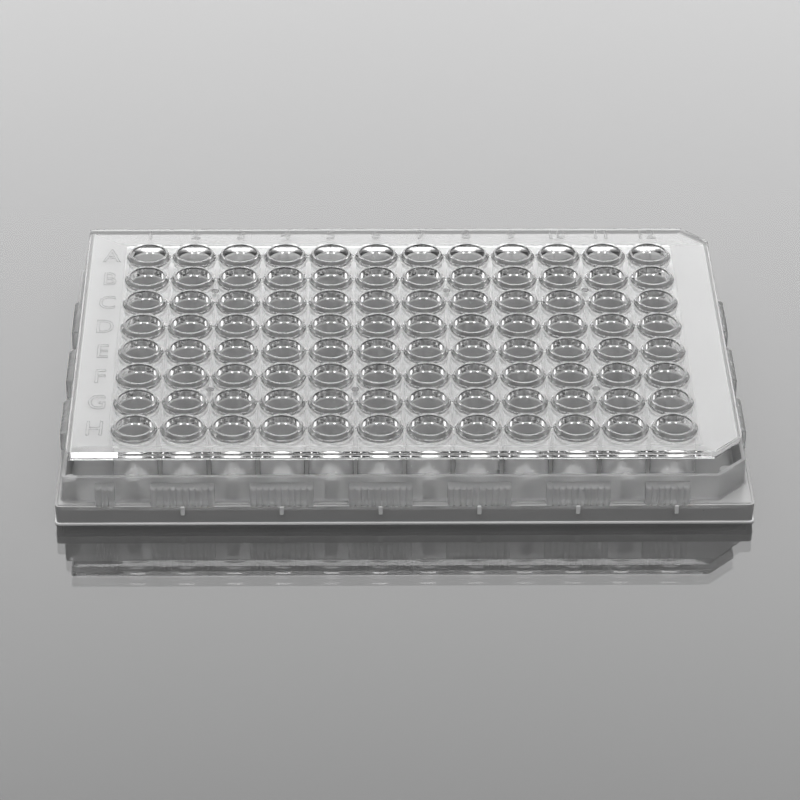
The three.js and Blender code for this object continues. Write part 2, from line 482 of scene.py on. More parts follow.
@dataclass
class MeshBuilder:
    """Collects vertices and faces in millimetres and makes one tidy, dressed object of them.

    Faces get the finish that is set when they are added. Level edges that turn by more than the level
    limit, and other edges that turn by more than the upright limit, in degrees, stay sharp.
    """

    name: str
    finish: Finish
    merge_distance: float = 0.004
    least_length: float = 0.001
    level_limit: float = 10.0
    upright_limit: float = 30.0
    vertices: list[Point3] = field(default_factory=list)
    faces: list[tuple[int, ...]] = field(default_factory=list)
    finishes: list[Finish] = field(default_factory=list)

    def face(self, corners: Sequence[int]) -> None:
        """Add one face with the finish in use."""
        self.faces.append(tuple(corners))
        self.finishes.append(self.finish)

    def ring(self, points: Iterable[Point2], height: float) -> list[int]:
        """Add a ring of vertices at one height.

        Args:
            points: Their plan points.
            height: Their height.

        Returns:
            The new vertices' numbers.
        """
        first = len(self.vertices)
        self.vertices += [(x, y, height) for x, y in points]
        return list(range(first, len(self.vertices)))

    def bridge(self, lower: Sequence[int], upper: Sequence[int]) -> None:
        """Join two closed rings of equal length with quads.

        Args:
            lower: The first ring's vertices.
            upper: The second ring's vertices.
        """
        count = len(lower)
        for index in range(count):
            following = (index + 1) % count
            self.face((lower[index], lower[following], upper[following], upper[index]))

    def stack(self, rings: Sequence[Sequence[int]]) -> None:
        """Join each ring to the next."""
        for lower, upper in zip(rings, rings[1:]):
            self.bridge(lower, upper)

    def solid(self, rings: Sequence[Sequence[int]]) -> None:
        """Join each ring to the next and close both ends.

        Args:
            rings: The rings' vertices, from one end to the other.
        """
        self.stack(rings)
        self.face(rings[0])
        self.face(rings[-1])

    def flat(self, loops: Sequence[Sequence[Point2]], height: float) -> None:
        """Fill the area between flat loops.

        Args:
            loops: The outer loop first, then its holes.
            height: The height of the area.
        """
        numbers: list[int] = []
        for loop in loops:
            numbers += self.ring(loop, height)
        flat_loops = [[Vector((x, y, 0.0)) for x, y in loop] for loop in loops]
        for triangle in tessellate_polygon(flat_loops):
            self.face([numbers[corner] for corner in triangle])

    def loft(self, outline: Outline, profile: Iterable[Point2]) -> None:
        """Sweep a profile of [inset, height] points round an outline."""
        self.stack([self.ring(outline.points(distance), height) for distance, height in profile])

    def refinish(self, first: int, finish: Finish, wanted: Callable[[Sequence[Point3]], bool]) -> None:
        """Give another finish to some of the faces added since a moment.

        Args:
            first: The number of the first face added since.
            finish: The finish they get.
            wanted: Tells from a face's corners whether it gets the finish.
        """
        for number in range(first, len(self.faces)):
            if wanted([self.vertices[corner] for corner in self.faces[number]]):
                self.finishes[number] = finish

    def _clean(self, mesh: bpy.types.Mesh) -> None:
        """Merge what coincides, turn the faces outward and mark the sharp edges.

        Args:
            mesh: The mesh, in metres.
        """
        work = bmesh.new()
        work.from_mesh(mesh)
        bmesh.ops.remove_doubles(work, verts=work.verts, dist=self.merge_distance * MM)
        bmesh.ops.dissolve_degenerate(work, edges=work.edges, dist=self.least_length * MM)
        bmesh.ops.recalc_face_normals(work, faces=work.faces)
        for face in work.faces:
            face.smooth = True
        for edge in work.edges:
            level = abs(edge.verts[0].co.z - edge.verts[1].co.z) < self.least_length * MM
            limit = math.radians(self.level_limit if level else self.upright_limit)
            edge.smooth = len(edge.link_faces) == 2 and edge.calc_face_angle(0.0) < limit
        work.to_mesh(mesh)
        work.free()

    def build(self) -> bpy.types.Object:
        """Make the object, in metres, with its finishes.

        Returns:
            The new object, linked to the scene.
        """
        used = [finish for finish in Finish if finish in self.finishes]
        places = {finish: place for place, finish in enumerate(used)}
        mesh = bpy.data.meshes.new(self.name)
        mesh.from_pydata([(x * MM, y * MM, z * MM) for x, y, z in self.vertices], [], self.faces)
        mesh.polygons.foreach_set("material_index", [places[finish] for finish in self.finishes])
        self._clean(mesh)
        for finish in used:
            mesh.materials.append(finish.material())
        return add_object(self.name, mesh)


# ---------------------------------------------------------------- the clear plate


@dataclass(frozen=True)
class WellGrid:
    """Where the wells are."""

    rows: int = 8
    columns: int = 12
    pitch: float = 9.0

    @property
    def half_x(self) -> float:
        """Return half the distance from the first column to the last."""
        return (self.columns - 1) * self.pitch / 2.0

    @property
    def half_y(self) -> float:
        """Return half the distance from the first row to the last."""
        return (self.rows - 1) * self.pitch / 2.0

    @property
    def end_x(self) -> float:
        """Return the right edge of the last column's cells."""
        return self.half_x + self.pitch / 2.0

    @property
    def end_y(self) -> float:
        """Return the back edge of the first row's cells."""
        return self.half_y + self.pitch / 2.0

    def column_x(self, column: float) -> float:
        """Return a column's place, counted from 0 on the left."""
        return column * self.pitch - self.half_x

    def row_y(self, row: float) -> float:
        """Return a row's place, counted from 0 at the back."""
        return self.half_y - row * self.pitch

    def centres(self) -> list[Point2]:
        """Return every well's centre."""
        return [(self.column_x(c), self.row_y(r)) for r in range(self.rows) for c in range(self.columns)]


@dataclass(frozen=True)
class ClearPlate:
    """The clear moulded plate: its deck, border, rims, wells and tubes.

    The wells' profiles are [radius, height], and those of the border are [inset, height].
    """

    grid: WellGrid = WellGrid()
    edges: Edges = Edges(-61.7, 61.7, -39.3, 42.4)
    corner_radius: float = 0.6
    chamfer: float = 5.1
    deck_top: float = 13.72
    deck_thickness: float = 1.3
    # How near to the outer edge of all cells a point counts as on it.
    nearness: float = 1e-6

    # The turned-down border. At the back, below a height and within a reach from the back edge, it has a
    # near-black haze that is painted shade.
    border_face: Profile = (
        (0.0, 13.64), (0.0, 13.36), (0.24, 12.88), (0.27, 12.8), (0.3, 12.25), (0.36, 11.95), (0.42, 11.85),
    )
    border_foot: float = 0.5
    border_bottom: float = 11.75
    border_wall: float = 0.3
    edge_rounding: float = 0.08
    shade_top: float = 12.9
    shade_reach: float = 1.4

    # The thicker margin round the wells, its outer strip, the step up to the thinner deck, and the shallow
    # sloped pocket under the front left end. The strip is a near-black haze at the back, painted shade; the
    # strip and the underside are a pale haze at the sides, painted light, and the underside is a faintly
    # dimmed clear at the back, painted shade.
    margin_underside: float = 12.12
    margin_strip: float = 1.1
    margin_step: Edges = Edges(-54.3, 54.3, -36.6, 36.3)
    margin_step_radius: float = 0.3
    pocket: Edges = Edges(-60.6, -52.2, -38.15, -36.7)
    pocket_rise: float = 0.68

    # The points of a circle in the first eighth of a turn, in degrees. The other eighths mirror them.
    eighth: tuple[float, ...] = (0.0, 7.0, 12.5, 20.0, 28.0, 36.5)

    # A well's rim and bore, from the deck inward and down. The rim's side is polished behind a line that
    # lies this far from the well's centre; in front of it, a dark mottled haze is painted shade.
    rim_foot: Profile = ((4.42, 13.72), (4.3, 13.735), (4.2, 13.78), (4.13, 13.86))
    rim_side: Profile = ((4.09, 13.97), (3.84, 14.46))
    rim_top: Profile = ((3.79, 14.5), (3.4, 14.5), (3.35, 14.45))
    bore: Profile = ((3.18, 4.2), (3.05, 3.55), (2.6, 3.2))
    polished_rim_from: float = -1.2

    # The fillet under the deck and the tube below it, and which of their facets are polished, counted
    # from the Y axis. The rest of the underside round a well is a pale haze, painted light of the ring the
    # fillet gathers.
    fillet: Profile = ((4.46, 12.42), (4.26, 12.38), (4.12, 12.3), (4.03, 12.17))
    tube: Profile = ((4.0, 12.02), (4.25, 2.6), (3.9, 2.3))
    polished_fillet: int = 1
    first_polished_level: int = 3

    @property
    def deck_underside(self) -> float:
        """Return the height of the deck's underside."""
        return self.deck_top - self.deck_thickness

    @property
    def outline(self) -> Outline:
        """Return the plate's plan outline."""
        return Outline(self.edges, self.corner_radius, self.chamfer)

    @property
    def angles(self) -> list[float]:
        """Return the angles, in radians, of the points of every circle, alike in each eighth of it."""
        quarter = list(self.eighth) + [45.0] + [90.0 - angle for angle in reversed(self.eighth[1:])]
        return [math.radians(turn * 90.0 + angle) for turn in range(4) for angle in quarter]

    def cell(self, centre: Point2) -> list[Point2]:
        """Return the points of a well's square cell, one for each point of its circles.

        Args:
            centre: The well's centre.

        Returns:
            The points, counter-clockwise from the right.
        """
        half = self.grid.pitch / 2.0
        points = []
        for angle in self.angles:
            along, across = math.cos(angle), math.sin(angle)
            reach = half / max(abs(along), abs(across))
            points.append((centre[0] + reach * along, centre[1] + reach * across))
        return points

    def turned(self, builder: MeshBuilder, centre: Point2, profile: Profile) -> list[list[int]]:
        """Add a circle of a well for each point of a profile.

        Args:
            builder: The mesh it goes into.
            centre: The well's centre.
            profile: The circles' [radius, height].

        Returns:
            The rings of vertices.
        """
        rings = []
        for radius, height in profile:
            points = [
                (centre[0] + radius * math.cos(angle), centre[1] + radius * math.sin(angle))
                for angle in self.angles]
            rings.append(builder.ring(points, height))
        return rings

    def _is_polished(self, facet: int, level: bool, row_y: float) -> bool:
        """Return whether a facet of the underside round a well is polished.

        Args:
            facet: Its number, counter-clockwise from the right.
            level: Whether it belongs to the level part, not to the fillet.
            row_y: Its well's place.

        Returns:
            Whether it is clear and not hazy.
        """
        quarter, place = divmod(facet, 2 * len(self.eighth))
        from_axis = place if quarter % 2 == 1 else 2 * len(self.eighth) - 1 - place
        back_half = quarter < 2
        if level:
            outward = row_y if back_half else -row_y
            outermost = outward > self.grid.half_y - self.grid.pitch / 2.0
            return outermost or from_axis >= self.first_polished_level
        return back_half and from_axis == self.polished_fillet

    def grid_border(self) -> list[Point2]:
        """Return the outer border of all cells, with every cell's points on it.

        Returns:
            The points, in order round the border, none of them twice.
        """
        found: dict[Point2, Point2] = {}
        for centre in self.grid.centres():
            for x, y in self.cell(centre):
                if max(abs(x) - self.grid.end_x, abs(y) - self.grid.end_y) > -self.nearness:
                    found[(round(x, 3), round(y, 3))] = (x, y)
        return sorted(found.values(), key=lambda point: math.atan2(point[1], point[0]))

    def _well_top(self, builder: MeshBuilder, centre: Point2) -> None:
        """Add a well's cell of the deck, its rim and its bore.

        Args:
            builder: The mesh it goes into.
            centre: The well's centre.
        """
        builder.finish = Finish.POLISHED
        cell = builder.ring(self.cell(centre), self.deck_top)
        foot = [cell] + self.turned(builder, centre, self.rim_foot)
        builder.stack(foot)
        # The front of the rim's side: dark mottled haze, painted shade.
        builder.finish = Finish.RIM_SIDE
        first = len(builder.faces)
        side = [foot[-1]] + self.turned(builder, centre, self.rim_side)
        builder.stack(side)
        polished_from = centre[1] + self.polished_rim_from
        builder.refinish(first, Finish.POLISHED, lambda corners: middle(corners, Axis.Y) > polished_from)
        builder.finish = Finish.POLISHED
        inside = [side[-1]] + self.turned(builder, centre, self.rim_top + self.bore)
        builder.stack(inside)
        builder.finish = Finish.WELL_FLOOR
        builder.face(inside[-1])

    def _well_underside(self, builder: MeshBuilder, centre: Point2) -> None:
        """Add a well's cell of the deck's underside, its fillet and its tube.

        Args:
            builder: The mesh it goes into.
            centre: The well's centre.
        """
        # The unpolished underside round the well: pale haze, painted light.
        builder.finish = Finish.UNDERSIDE
        first = len(builder.faces)
        under = builder.ring(self.cell(centre), self.deck_underside)
        fillet = [under] + self.turned(builder, centre, self.fillet)
        builder.stack(fillet)
        for face in range(first, len(builder.faces)):
            band, facet = divmod(face - first, len(under))
            if self._is_polished(facet, band == 0, centre[1]):
                builder.finishes[face] = Finish.POLISHED
        builder.finish = Finish.TUBE
        tube = [fillet[-1]] + self.turned(builder, centre, self.tube)
        builder.stack(tube)
        builder.face(tube[-1])

    def _border(self, builder: MeshBuilder) -> None:
        """Add the turned-down border, with a near-black haze at the back and a grey haze on the sides, both
        painted shade.

        Args:
            builder: The mesh it goes into.
        """
        turn = self.edge_rounding
        inner = self.border_foot + self.border_wall
        back = self.edges.back - self.shade_reach
        end_y = self.grid.end_y
        builder.finish = Finish.POLISHED
        first = len(builder.faces)
        builder.loft(self.outline, [(turn, self.deck_top), *self.border_face])
        # The back of the border's face below a height: near-black haze, painted shade.
        builder.refinish(first, Finish.BACK_BORDER, lambda corners: all(
            y > back and z < self.shade_top for x, y, z in corners))
        first = len(builder.faces)
        builder.loft(self.outline, [
            self.border_face[-1],
            (self.border_foot, self.border_bottom),
            (inner - turn, self.border_bottom),
            (inner, self.border_bottom + turn),
            (inner, self.margin_underside - turn),
        ])
        # The border's foot and inner wall: grey haze on the sides and near-black haze at the back, painted
        # shade.
        builder.refinish(first, Finish.SIDE_BORDER, lambda corners: max(y for x, y, z in corners) > -end_y)
        builder.refinish(first, Finish.BACK_BORDER, lambda corners: min(y for x, y, z in corners) > end_y)
        builder.loft(self.outline, [
            (inner, self.margin_underside - turn), (inner + turn, self.margin_underside)])

    def _margins(self, builder: MeshBuilder) -> None:
        """Add the deck's margins, with a step on the underside where the deck gets thinner, and finishes
        that paint light under the sides and shade along the back.

        Args:
            builder: The mesh they go into.
        """
        turn = self.edge_rounding
        inner = self.border_foot + self.border_wall
        back = self.edges.back - self.shade_reach
        cells = self.grid_border()
        builder.finish = Finish.POLISHED
        builder.flat([self.outline.points(turn), cells], self.deck_top)
        first = len(builder.faces)
        builder.loft(self.outline, [
            (inner + turn, self.margin_underside), (self.margin_strip, self.margin_underside)])
        step = Outline(self.margin_step, self.margin_step_radius)
        builder.flat(
            [self.outline.points(self.margin_strip), step.points(), self.pocket.corners()],
            self.margin_underside)
        # The back margin's underside: faintly dimmed clear, painted shade that tones down the light from
        # behind.
        builder.refinish(
            first, Finish.BACK_MARGIN, lambda corners: middle(corners, Axis.Y) > self.grid.end_y)
        # The back strip of the margin: the same near-black haze, painted shade.
        builder.refinish(first, Finish.BACK_BORDER, lambda corners: all(y > back for x, y, z in corners))
        builder.loft(step, [(0.0, self.margin_underside), (turn, self.deck_underside)])
        builder.flat([step.points(turn), cells], self.deck_underside)
        # The sides' underside: pale haze, painted light that stands in for light carried along the deck.
        builder.refinish(
            first, Finish.SIDE_MARGIN, lambda corners: abs(middle(corners, Axis.X)) > self.grid.end_x)

    def _pocket(self, builder: MeshBuilder) -> None:
        """Add the pocket under the front left margin, a polished slope between sides of pale haze that is
        painted light.

        Args:
            builder: The mesh it goes into.
        """
        corners = self.pocket.corners()
        front_left, front_right, back_right, back_left = builder.ring(corners, self.margin_underside)
        high_right, high_left = builder.ring(corners[2:], self.margin_underside + self.pocket_rise)
        builder.finish = Finish.POLISHED
        builder.face((front_left, front_right, high_right, high_left))
        # The pocket's sides: the same pale haze, painted light.
        builder.finish = Finish.SIDE_MARGIN
        builder.face((front_right, back_right, high_right))
        builder.face((back_left, front_left, high_left))
        builder.face((back_right, back_left, high_left, high_right))

    def build(self) -> bpy.types.Object:
        """Make the plate.

        Returns:
            The dressed plate.
        """
        builder = MeshBuilder("clear_plate", Finish.POLISHED)
        for centre in self.grid.centres():
            self._well_top(builder, centre)
            self._well_underside(builder, centre)
        self._border(builder)
        self._margins(builder)
        self._pocket(builder)
        return builder.build()


@dataclass(frozen=True)
class DeckMarks:
    """The raised letters and numbers on the deck, the bridges between rims and the gate marks."""

    grid: WellGrid
    deck_top: float

    # The letters and numbers: their places and sizes, how much taller they are than the font's own, and
    # the raised line they are drawn with, whose grey haze is painted shade.
    letter_x: float = -56.8
    letter_size: float = 5.0
    letter_stretch: float = 1.35
    number_y: float = 39.8
    number_size: float = 4.0
    number_stretch: float = 1.2
    line_radius: float = 0.07
    line_steps: int = 1
    curve_steps: int = 3
    merge_distance: float = 0.001

    # The bridges: their size in plan, and how far they spread at each height over the deck.
    bridge_width: float = 0.5
    bridge_length: float = 0.4
    bridge_profile: Profile = ((0.12, -0.1), (0.1, 0.1), (0.0, 0.28), (-0.08, 0.33))

    # The gate marks: their [column, row], and the share of their radius at each height over the deck; their
    # rough finish is a dark grey, painted shade of the dimple.
    gates: tuple[Point2, ...] = ((1.5, 1.5), (6.5, 1.5), (9.5, 1.5), (1.5, 5.5), (4.5, 5.5), (9.5, 5.5))
    gate_radius: float = 0.75
    gate_profile: Profile = (
        (0.2, -0.45), (0.5, -0.1), (0.78, 0.004), (0.86, 0.05), (0.94, 0.05), (1.0, 0.004),
    )
    gate_steps: int = 20

    def _word(self, body: str, size: float, stretch: float, centre: Point2) -> bpy.types.Mesh:
        """Return the mesh of a word's raised outlines.

        Args:
            body: The characters.
            size: Their size.
            stretch: How much taller they are than the font's own.
            centre: Where their middle is.

        Returns:
            A new mesh, in metres.
        """
        curve = bpy.data.curves.new("mark", "FONT")
        curve.body = body
        curve.size = size * MM
        curve.align_x = "CENTER"
        curve.align_y = "CENTER"
        curve.fill_mode = "NONE"
        curve.bevel_depth = self.line_radius * MM
        curve.bevel_resolution = self.line_steps
        curve.resolution_u = self.curve_steps
        holder = bpy.data.objects.new("mark", curve)
        mesh = bpy.data.meshes.new_from_object(holder)
        mesh.transform(Matrix.Translation((centre[0] * MM, centre[1] * MM, self.deck_top * MM))
                       @ Matrix.Diagonal((1.0, stretch, 1.0, 1.0)))
        bpy.data.objects.remove(holder)
        bpy.data.curves.remove(curve)
        return mesh

    def words(self) -> bpy.types.Object:
        """Make the row letters and the column numbers.

        Returns:
            One dressed object of them all.
        """
        work = bmesh.new()
        for row in range(self.grid.rows):
            work.from_mesh(self._word(string.ascii_uppercase[row], self.letter_size, self.letter_stretch,
                                      (self.letter_x, self.grid.row_y(row))))
        for column in range(self.grid.columns):
            work.from_mesh(self._word(str(column + 1), self.number_size, self.number_stretch,
                                      (self.grid.column_x(column), self.number_y)))
        bmesh.ops.remove_doubles(work, verts=work.verts, dist=self.merge_distance * MM)
        mesh = bpy.data.meshes.new("letters_and_numbers")
        work.to_mesh(mesh)
        work.free()
        # The raised strokes: grey haze, painted shade.
        mesh.materials.append(Finish.LETTERING.material())
        return add_object("letters_and_numbers", mesh)

    def details(self) -> bpy.types.Object:
        """Make the bridges between the rims of a row, and the gate marks.

        Returns:
            One dressed object of them all.
        """
        builder = MeshBuilder("rim_bridges", Finish.POLISHED)
        for column in range(self.grid.columns - 1):
            for row in range(self.grid.rows):
                x, y = self.grid.column_x(column + 0.5), self.grid.row_y(row)
                rings = []
                for spread, over in self.bridge_profile:
                    across, along = self.bridge_width / 2.0 + spread, self.bridge_length / 2.0 + spread
                    plan = Edges(x - across, x + across, y - along, y + along)
                    rings.append(builder.ring(plan.corners(), self.deck_top + over))
                builder.solid(rings)
        # Gate marks: rough, with a dark grey that is painted shade.
        builder.finish = Finish.GATE_MARK
        for column, row in self.gates:
            centre = (self.grid.column_x(column), self.grid.row_y(row))
            rings = []
            for share, over in self.gate_profile:
                points = circle(centre, self.gate_radius * share, self.gate_steps)
                rings.append(builder.ring(points, self.deck_top + over))
            builder.stack(rings)
            builder.face(rings[0])
        return builder.build()


# ---------------------------------------------------------------- the frosted base


@dataclass(frozen=True)
class FrostedBase:
    """The frosted skirted base: skirt, ledge, upper wall, floor, grips, tabs and posts.

    The profiles are [inset, height], from the part of the base that the comment over them names.
    """

    grid: WellGrid
    skirt: Edges = Edges(-63.88, 63.88, -42.74, 42.74)
    skirt_radius: float = 1.0
    skirt_thickness: float = 1.2
    wall: Edges = Edges(-62.43, 62.43, -40.74, 41.29)
    wall_radius: float = 0.8
    wall_chamfer: float = 5.3
    wall_thickness: float = 0.75
    wall_top: float = 9.3
    ledge_top: float = 4.1
    ledge_under: float = 2.9
    floor_top: float = 2.0
    floor_under: float = 1.0
    # How near to the wall's inner face a corner counts as on it.
    nearness: float = 0.05

    # The skirt's flanged foot, from the floor. It takes the tabs' paler finish, a painted highlight along
    # the foot.
    flange: Profile = ((0.06, 0.0), (0.0, 0.06), (0.0, 0.36), (0.05, 0.41), (0.26, 0.43), (0.3, 0.48))
    # The skirt's upper edge and the groove behind it, from the ledge.
    skirt_edge: Profile = ((0.12, -0.12), (0.14, -0.04), (0.22, 0.0))
    groove: Profile = ((0.5, 0.0), (0.54, -0.15), (0.7, -0.15), (0.74, 0.0))
    # The upper wall's root, from the ledge, and either edge of its top, from the wall's top.
    wall_root: Profile = ((-0.45, 0.0), (-0.26, 0.04), (-0.1, 0.15), (0.0, 0.45))
    wall_edge: Profile = ((0.0, -0.12), (0.04, -0.04), (0.12, 0.0))
    # The turn into the floor, from the wall's inner face and the floor.
    floor_turn: Profile = ((0.0, 0.3), (0.09, 0.09), (0.3, 0.0))

    # The grips: round ribs side by side, sunk into the ledge and the wall, with rounded heads.
    rib_pitch: float = 1.155
    rib_radius: float = 0.62
    rib_steps: int = 8
    rib_root: float = 0.1
    rib_head: Profile = (
        (0.0, 7.4), (0.04, 7.56), (0.14, 7.7), (0.32, 7.82), (0.6, 7.92), (1.0, 7.98), (1.15, 8.0),
    )
    ribs: int = 10
    last_ribs: int = 7
    short_ribs: int = 3
    short_offset: float = 5.1
    grip_overlap: float = 0.3

    # The posts, sunk into the floor. Their head's heights are from the post's top. Their paler, milkier
    # finish is painted light.
    post_radius: float = 1.25
    post_inset: float = 1.4
    post_root: float = 0.2
    post_top: float = 8.3
    post_head: Profile = ((0.0, -0.15), (0.05, -0.05), (0.15, 0.0))
    post_steps: int = 24

    # The gate tabs: their width, how far they stand proud and reach down, and their edges' bevel. Their
    # pale finish is painted light.
    tab_width: float = 0.75
    tab_proud: float = 0.25
    tab_drop: float = 1.75
    tab_root: float = 0.4
    tab_bevel: float = 0.06
    tab_bevel_height: float = 0.08

    @property
    def skirt_outline(self) -> Outline:
        """Return the skirt's plan outline."""
        return Outline(self.skirt, self.skirt_radius)

    @property
    def wall_outline(self) -> Outline:
        """Return the upper wall's plan outline."""
        return Outline(self.wall, self.wall_radius, self.wall_chamfer)

    def _skirt(self, builder: MeshBuilder) -> None:
        """Add the skirt, outside and inside, and the ledge, over and under.

        Args:
            builder: The mesh they go into.
        """
        skirt, wall = self.skirt_outline, self.wall_outline
        builder.finish = Finish.FROSTED
        builder.loft(skirt, [self.flange[-1], *moved(self.skirt_edge + self.groove, 0.0, self.ledge_top)])
        # The flanged foot: pale finish, a painted highlight line.
        builder.finish = Finish.GATE_TABS
        builder.loft(skirt, self.flange)
        builder.finish = Finish.FROSTED
        builder.flat([skirt.points(self.groove[-1][0]), wall.points(self.wall_root[0][0])], self.ledge_top)
        builder.loft(skirt, [
            self.flange[0], (self.skirt_thickness, 0.0), (self.skirt_thickness, self.ledge_under)])
        builder.flat([skirt.points(self.skirt_thickness), wall.points()], self.ledge_under)

    def _wall_and_floor(self, builder: MeshBuilder) -> None:
        """Add the upper wall, over its root, and the floor inside it.

        Args:
            builder: The mesh they go into.
        """
        wall = self.wall_outline
        inner = self.wall_thickness
        inner_edge = [(inner - inset, self.wall_top + up) for inset, up in reversed(self.wall_edge)]
        builder.finish = Finish.UPPER_WALL
        first = len(builder.faces)
        builder.loft(wall, [
            *moved(self.wall_root, 0.0, self.ledge_top),
            *moved(self.wall_edge, 0.0, self.wall_top),
            *inner_edge,
            *moved(self.floor_turn, inner, self.floor_top),
        ])
        # The wall's inner faces on the left and right take the tray floor's paler matt finish, painted
        # light.
        outermost = self.wall.right - inner + self.nearness
        innermost = self.wall.right - inner - self.floor_turn[-1][0] - self.nearness
        builder.refinish(first, Finish.TRAY_FLOOR, lambda corners: all(
            innermost < abs(x) < outermost for x, y, z in corners))
        builder.finish = Finish.TRAY_FLOOR
        builder.flat([wall.points(inner + self.floor_turn[-1][0])], self.floor_top)
        builder.finish = Finish.FROSTED
        builder.loft(wall, [(0.0, self.ledge_under), (0.0, self.floor_under)])
        builder.flat([wall.points()], self.floor_under)

    def _rib_line(self, ribs: int) -> list[Point2]:
        """Return the front of a grip in plan.

        Args:
            ribs: How many ribs it has.

        Returns:
            Its [along, inward] points, inward from the ribs' front.
        """
        first = -(ribs - 1) * self.rib_pitch / 2.0
        valley = math.acos(self.rib_pitch / 2.0 / self.rib_radius)
        line = []
        for rib in range(ribs):
            start = 0.0 if rib == 0 else valley
            end = math.pi if rib == ribs - 1 else math.pi - valley
            for step in range(self.rib_steps + 1):
                angle = math.pi - start - (end - start) * step / self.rib_steps
                line.append((first + rib * self.rib_pitch + self.rib_radius * math.cos(angle),
                             self.rib_radius - self.rib_radius * math.sin(angle)))
        return line

    def _grip(
        self, builder: MeshBuilder, ribs: int, place: Callable[[float, float], Point2], depth: float,
    ) -> None:
        """Add a knurled grip.

        Args:
            builder: The mesh it goes into.
            ribs: How many ribs it has.
            place: Turns [along, inward] into a plan point.
            depth: How far it reaches in from the skirt's face.
        """
        side = (ribs - 1) * self.rib_pitch / 2.0 + self.rib_radius
        line = self._rib_line(ribs)
        rings = []
        for shift, height in ((0.0, self.ledge_top - self.rib_root), *self.rib_head):
            points = [place(-side, depth)]
            points += [place(along, min(inward + shift, depth)) for along, inward in line]
            points.append(place(side, depth))
            rings.append(builder.ring(points, height))
        builder.solid(rings)

    def _grips(self, builder: MeshBuilder) -> None:
        """Add every grip of the four sides.

        Args:
            builder: The mesh they go into.
        """
        skirt = self.skirt
        front_depth = self.wall.front - skirt.front + self.grip_overlap
        back_depth = skirt.back - self.wall.back + self.grip_overlap
        side_depth = self.wall.left - skirt.left + self.grip_overlap
        groups = [(self.short_ribs, self.grid.column_x(0) - self.short_offset)]
        for column in range(1, self.grid.columns, 2):
            ribs = self.last_ribs if column == self.grid.columns - 1 else self.ribs
            groups.append((ribs, self.grid.column_x(column) - (self.ribs - ribs) * self.rib_pitch / 2.0))
        for ribs, x in groups:
            self._grip(builder, ribs, lambda along, inward: (x + along, skirt.front + inward), front_depth)
            self._grip(builder, ribs, lambda along, inward: (x - along, skirt.back - inward), back_depth)
        for row in range(1, self.grid.rows - 1, 2):
            y = self.grid.row_y(row + 0.5)
            for place in (lambda along, inward: (skirt.left + inward, y + along),
                          lambda along, inward: (skirt.right - inward, y + along)):
                self._grip(builder, self.ribs, place, side_depth)

    def _posts(self, builder: MeshBuilder) -> None:
        """Add the posts inside the upper wall, with rounded heads.

        Args:
            builder: The mesh they go into.
        """
        line = self.wall.inset(self.post_inset)
        shift = self.wall_chamfer / 2.0 - self.post_inset * (1.0 - math.sqrt(0.5))
        places = [(line.left, line.front), (line.left, line.back),
                  (line.right - shift, line.front + shift), (line.right - shift, line.back - shift)]
        for column in range(0, self.grid.columns, 2):
            places += [(self.grid.column_x(column), line.front), (self.grid.column_x(column), line.back)]
        profile = [(0.0, self.floor_top - self.post_root), *moved(self.post_head, 0.0, self.post_top)]
        for centre in places:
            builder.solid([
                builder.ring(circle(centre, self.post_radius - inset, self.post_steps), height)
                for inset, height in profile])

    def _tabs(self, builder: MeshBuilder) -> None:
        """Add the gate tabs on the skirt's front and back.

        Args:
            builder: The mesh they go into.
        """
        bottom = self.ledge_top - self.tab_drop
        profile = (
            (self.tab_bevel, bottom),
            (0.0, bottom + self.tab_bevel_height),
            (0.0, self.ledge_top - self.tab_bevel_height),
            (self.tab_bevel, self.ledge_top),
        )
        for face, outward in ((self.skirt.front, -1.0), (self.skirt.back, 1.0)):
            for column in range(1, self.grid.columns, 2):
                x = self.grid.column_x(column)
                rings = []
                for inset, height in profile:
                    half = self.tab_width / 2.0 - inset
                    root = face - outward * self.tab_root
                    reach = face + outward * (self.tab_proud - inset)
                    rings.append(builder.ring(Edges(x - half, x + half, root, reach).corners(), height))
                builder.solid(rings)

    def build(self) -> bpy.types.Object:
        """Make the base.

        Returns:
            The dressed base.
        """
        builder = MeshBuilder("frosted_base", Finish.FROSTED)
        self._skirt(builder)
        self._wall_and_floor(builder)
        builder.finish = Finish.GRIPS
        self._grips(builder)
        # The posts: paler milky finish, painted light.
        builder.finish = Finish.POSTS
        self._posts(builder)
        # The tabs: pale finish, painted light.
        builder.finish = Finish.GATE_TABS
        self._tabs(builder)
        return builder.build()


# ---------------------------------------------------------------- stage


